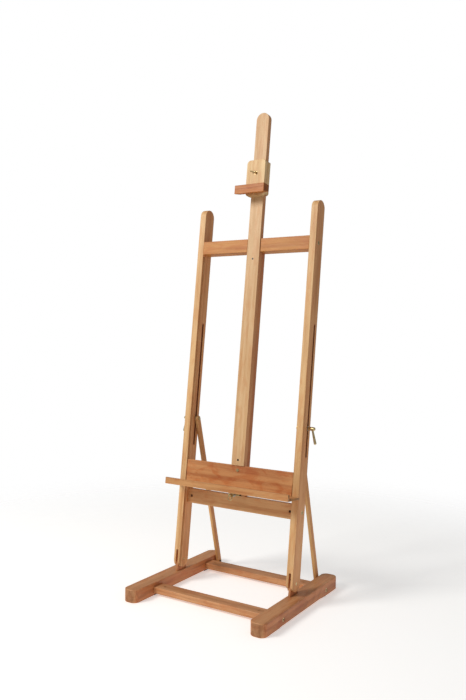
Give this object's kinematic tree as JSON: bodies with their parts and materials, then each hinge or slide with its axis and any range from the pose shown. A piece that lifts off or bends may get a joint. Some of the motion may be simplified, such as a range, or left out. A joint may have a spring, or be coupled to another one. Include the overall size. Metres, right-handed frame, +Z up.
{
  "type": "wooden studio easel",
  "caption": "Wooden H-frame studio easel: leaning frame on two struts, ratchet mast with a paint shelf, and a sliding clamp for the top of a canvas.",
  "frame": {"origin": "on the floor, at the middle of the base's outline", "axes": "+X to the right of a person who stands in front of the easel, +Y away from that person towards the back, +Z up"},
  "size_m": [0.56, 0.536, 1.7277],
  "materials": {
    "wood_light": "oiled",
    "wood_base": "oiled",
    "wood_crossbar": "oiled",
    "wood_shelf": "oiled",
    "wood_jaw": "oiled",
    "brass": "satin",
    "dark_steel": "black oxide, satin",
    "zinc_steel": "satin",
    "rubber": "matt"
  },
  "bodies": {
    "base": {"rail_left": "wood_base", "rail_right": "wood_base", "base_crossbar_front": "wood_base", "base_crossbar_rear": "wood_base", "base_bolts": "brass", "base_barrel_nuts": "dark_steel", "tongue_left": "wood_base", "tongue_right": "wood_base", "tongue_screws": "zinc_steel", "foot_pads": "rubber", "pivot_pin_left": "brass", "pivot_pin_right": "brass", "strut_pivot_screws": "dark_steel", "strut_foot_washers": "zinc_steel"},
    "frame": {"upright_left": "wood_light", "upright_right": "wood_light", "upper_crossbar": "wood_crossbar", "lower_crossbar": "wood_crossbar", "frame_bolts": "brass", "frame_barrel_nuts": "dark_steel", "mast_guide": "wood_light", "guide_screws": "zinc_steel", "rack_strip": "dark_steel", "rack_screws": "zinc_steel"},
    "mast": {"mast_board": "wood_light", "mast_batten": "wood_light", "batten_screws": "dark_steel", "shelf_backboard": "wood_shelf", "backboard_bolt": "brass", "shelf_floor": "wood_light", "shelf_lip": "wood_light", "shelf_screws": "zinc_steel", "latch_bracket": "brass", "latch_bracket_screws": "zinc_steel", "latch_spring": "zinc_steel"},
    "latch": {"latch_strap": "brass", "latch_cross_pin": "zinc_steel", "latch_finger_ring": "brass"},
    "clamp": {"clamp_front_plate": "wood_light", "clamp_rear_plate": "wood_light", "clamp_cheek_left": "wood_light", "clamp_cheek_right": "wood_light", "clamp_jaw": "wood_jaw", "jaw_screws": "zinc_steel", "clamp_insert": "brass"},
    "clamp_lever": {"clamp_lever_screw": "brass", "clamp_pressure_pad": "brass"},
    "strut_left": {"strut_left": "wood_crossbar", "slot_bolt_left": "brass", "slot_washers_left": "zinc_steel"},
    "strut_right": {"strut_right": "wood_crossbar", "slot_bolt_right": "brass", "slot_washers_right": "zinc_steel"},
    "tilt_lever_left": {"tilt_lever_left": "brass"},
    "tilt_lever_right": {"tilt_lever_right": "brass"}
  },
  "joints": [
    {"name": "frame_tilt", "type": "hinge", "parent": "base", "child": "frame", "pos_m": [0, 0.005, 0.084], "axis": [-1, 0, 0], "range_deg": [-3, 14]},
    {"name": "strut_left_swing", "type": "hinge", "parent": "base", "child": "strut_left", "pos_m": [-0.2132, 0.2295, 0.0187], "axis": [-1, 0, 0], "range_deg": [-6, 18]},
    {"name": "strut_right_swing", "type": "hinge", "parent": "base", "child": "strut_right", "pos_m": [0.2132, 0.2295, 0.0187], "axis": [-1, 0, 0], "range_deg": [-6, 18]},
    {"name": "mast_slide", "type": "slide", "parent": "frame", "child": "mast", "axis": [0, 0.1193, 0.9929], "range_m": [0, 0.675]},
    {"name": "latch_release", "type": "slide", "parent": "mast", "child": "latch", "axis": [0, -0.9929, 0.1193], "range_m": [0, 0.0075], "stiffness_N_per_m": 400, "springref_m": -0.004, "deforming": ["latch_spring"]},
    {"name": "clamp_slide", "type": "slide", "parent": "mast", "child": "clamp", "axis": [0, 0.1193, 0.9929], "range_m": [-0.13, 0.16]},
    {"name": "clamp_lever_turn", "type": "hinge", "parent": "clamp", "child": "clamp_lever", "pos_m": [0, 0.12256, 1.50109], "axis": [0, -0.9929, 0.1193], "range_deg": [0, 150]},
    {"name": "tilt_lever_left_turn", "type": "hinge", "parent": "strut_left", "child": "tilt_lever_left", "pos_m": [-0.2475, 0.0759, 0.59871], "axis": [-1, 0, 0], "range_deg": [0, 120]},
    {"name": "tilt_lever_right_turn", "type": "hinge", "parent": "strut_right", "child": "tilt_lever_right", "pos_m": [0.2475, 0.0759, 0.59871], "axis": [1, 0, 0], "range_deg": [0, 120]}
  ],
  "couplings": [
    {"joint": "strut_left_swing", "follows": "frame_tilt", "ratio": 0.972},
    {"joint": "strut_right_swing", "follows": "frame_tilt", "ratio": 0.972}
  ]
}
